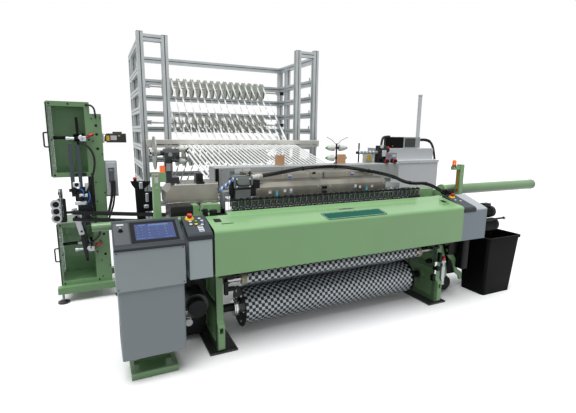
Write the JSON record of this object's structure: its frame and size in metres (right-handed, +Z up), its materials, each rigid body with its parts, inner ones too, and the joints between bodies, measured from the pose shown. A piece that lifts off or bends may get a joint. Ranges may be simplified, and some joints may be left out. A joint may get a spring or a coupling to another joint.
{
  "type": "rapier loom",
  "caption": "Rapier loom weaving flat tapes into chequered cloth, with sloping front cover, cloth roll, standing terminal, tape tower, cabinet, bin and a frame of tape reels behind.",
  "frame": {"origin": "on the floor, under the middle of the bounding box of loom, tower, cabinet, bin and creel", "axes": "+X along the cloth width towards the long guard tube, +Y from the weaver to the creel, +Z up"},
  "size_m": [4.946, 4.306, 2.79],
  "materials": {
    "frame_green": "satin paint",
    "cover_green": "satin paint",
    "panel_grey": "satin paint",
    "cabinet_grey": "satin paint",
    "desk_dark": "fine texture",
    "lamp_orange": "clear",
    "stainless": "brushed",
    "machine_black": "satin paint",
    "bin_black": "fine texture",
    "aluminium": "anodised",
    "steel": "ground",
    "reel_white": "matte",
    "tape_white": "flat tape",
    "cloth": "chequered tape weave",
    "hose": "ribbed",
    "clear_door": "clear plastic",
    "button_red": "gloss"
  },
  "bodies": {
    "loom": {"bobbin_stand": "machine_black", "button_panel": "panel_grey", "button_panel_top": "desk_dark", "cloth_strip": "cloth", "cone_stand": "machine_black", "console_base": "frame_green", "console_body": "panel_grey", "console_top": "desk_dark", "creel_rails": "aluminium", "creel_side_left": "aluminium", "creel_side_right": "aluminium", "cross_beams": "frame_green", "drive_hood": "stainless", "drive_housing_left": "frame_green", "drive_housing_right": "frame_green", "drive_motors": "machine_black", "feeder_unit": "machine_black", "front_cover": "cover_green", "guard_plates": "stainless", "guard_tube_left": "frame_green", "guard_tube_right": "frame_green", "guide_bar": "aluminium", "harness_beam": "cabinet_grey", "hose_bundle": "hose", "light_posts": "frame_green", "linkage_right": "frame_green", "rear_cabinet": "cabinet_grey", "right_cabinet": "cabinet_grey", "right_cabinet_top": "desk_dark", "side_frame_left": "frame_green", "side_frame_right": "frame_green", "signal_lamps": "lamp_orange", "tape_head": "stainless", "tower_cabinet": "cabinet_grey", "tower_frame": "frame_green", "tower_guides": "machine_black", "tower_rails": "machine_black", "warp_tapes": "tape_white", "waste_bin": "bin_black"},
    "sley": {"sley": "steel"},
    "heald_front": {"heald_shaft_front": "steel"},
    "heald_rear": {"heald_shaft_rear": "steel"},
    "rapier_right": {"rapier_right": "steel"},
    "rapier_left": {"rapier_left": "steel"},
    "take_up": {"take_up_roller": "steel"},
    "guide": {"guide_roller": "steel"},
    "roll": {"cloth_roll": "steel", "wound_cloth": "cloth"},
    "reels_1": {"reel_row_1": "reel_white"},
    "reels_2": {"reel_row_2": "reel_white"},
    "reels_3": {"reel_row_3": "reel_white"},
    "reels_4": {"reel_row_4": "reel_white"},
    "door_upper": {"tower_door_upper": "clear_door"},
    "door_lower": {"tower_door_lower": "clear_door"},
    "spindle_upper": {"tower_reel_upper": "steel"},
    "spindle_lower": {"tower_reel_lower": "steel"},
    "spool": {"spool_disc": "machine_black"},
    "lever": {"lever_arm_right": "frame_green"},
    "button_left": {"stop_button_left": "button_red"},
    "button_right": {"stop_button_right": "button_red"}
  },
  "joints": [
    {"name": "sley_swing", "type": "hinge", "parent": "loom", "child": "sley", "pos_m": [-0.251, -1.607, 0.43], "axis": [-1, 0, 0], "range_deg": [0, 12.5]},
    {"name": "heald_front_lift", "type": "slide", "parent": "loom", "child": "heald_front", "axis": [0, 0, 1], "range_m": [-0.04, 0.04]},
    {"name": "heald_rear_lift", "type": "slide", "parent": "loom", "child": "heald_rear", "axis": [0, 0, 1], "range_m": [-0.04, 0.04]},
    {"name": "rapier_right_run", "type": "slide", "parent": "loom", "child": "rapier_right", "axis": [-1, 0, 0], "range_m": [0, 1.69]},
    {"name": "rapier_left_run", "type": "slide", "parent": "loom", "child": "rapier_left", "axis": [1, 0, 0], "range_m": [0, 0.29]},
    {"name": "roll_turn", "type": "hinge", "parent": "loom", "child": "roll", "pos_m": [-0.251, -1.727, 0.222], "axis": [1, 0, 0], "continuous": true},
    {"name": "take_up_turn", "type": "hinge", "parent": "loom", "child": "take_up", "pos_m": [-0.251, -1.897, 0.76], "axis": [1, 0, 0], "continuous": true},
    {"name": "guide_turn", "type": "hinge", "parent": "loom", "child": "guide", "pos_m": [-0.251, -1.877, 0.515], "axis": [1, 0, 0], "continuous": true},
    {"name": "reels_1_turn", "type": "hinge", "parent": "loom", "child": "reels_1", "pos_m": [-0.251, 1.813, 2.251], "axis": [1, 0, 0], "continuous": true},
    {"name": "reels_2_turn", "type": "hinge", "parent": "loom", "child": "reels_2", "pos_m": [-0.251, 1.813, 1.721], "axis": [1, 0, 0], "continuous": true},
    {"name": "reels_3_turn", "type": "hinge", "parent": "loom", "child": "reels_3", "pos_m": [-0.251, 1.813, 1.191], "axis": [1, 0, 0], "continuous": true},
    {"name": "reels_4_turn", "type": "hinge", "parent": "loom", "child": "reels_4", "pos_m": [-0.251, 1.813, 0.661], "axis": [1, 0, 0], "continuous": true},
    {"name": "door_upper_swing", "type": "hinge", "parent": "loom", "child": "door_upper", "pos_m": [-2.4275, -0.087, 1.51], "axis": [0, 0, -1], "range_deg": [0, 110]},
    {"name": "door_lower_swing", "type": "hinge", "parent": "loom", "child": "door_lower", "pos_m": [-2.4275, -0.087, 0.451], "axis": [0, 0, -1], "range_deg": [0, 110]},
    {"name": "spindle_upper_turn", "type": "hinge", "parent": "loom", "child": "spindle_upper", "pos_m": [-2.251, -0.277, 1.524], "axis": [1, 0, 0], "continuous": true},
    {"name": "spindle_lower_turn", "type": "hinge", "parent": "loom", "child": "spindle_lower", "pos_m": [-2.251, -0.277, 0.5], "axis": [1, 0, 0], "continuous": true},
    {"name": "spool_turn", "type": "hinge", "parent": "loom", "child": "spool", "pos_m": [-1.663, -1.462, 1.436], "axis": [1, 0, 0], "continuous": true},
    {"name": "lever_swing", "type": "hinge", "parent": "loom", "child": "lever", "pos_m": [0.949, -1.775, 0.6], "axis": [1, 0, 0], "range_deg": [-12, 12]},
    {"name": "button_left_press", "type": "slide", "parent": "loom", "child": "button_left", "axis": [0, 0.3036, -0.9528], "range_m": [0, 0.004], "stiffness_N_per_m": 1500},
    {"name": "button_right_press", "type": "slide", "parent": "loom", "child": "button_right", "axis": [0, 0.2894, -0.9572], "range_m": [0, 0.004], "stiffness_N_per_m": 1500}
  ],
  "couplings": [
    {"joint": "heald_front_lift", "follows": "heald_rear_lift", "ratio": -1},
    {"joint": "rapier_left_run", "follows": "rapier_right_run", "ratio": 0.1716},
    {"joint": "take_up_turn", "follows": "roll_turn", "ratio": 1.9733},
    {"joint": "guide_turn", "follows": "roll_turn", "ratio": -3.0204},
    {"joint": "reels_1_turn", "follows": "roll_turn", "ratio": -1.4231},
    {"joint": "reels_2_turn", "follows": "roll_turn", "ratio": -1.4231},
    {"joint": "reels_3_turn", "follows": "roll_turn", "ratio": -1.4231},
    {"joint": "reels_4_turn", "follows": "roll_turn", "ratio": -1.4231}
  ]
}
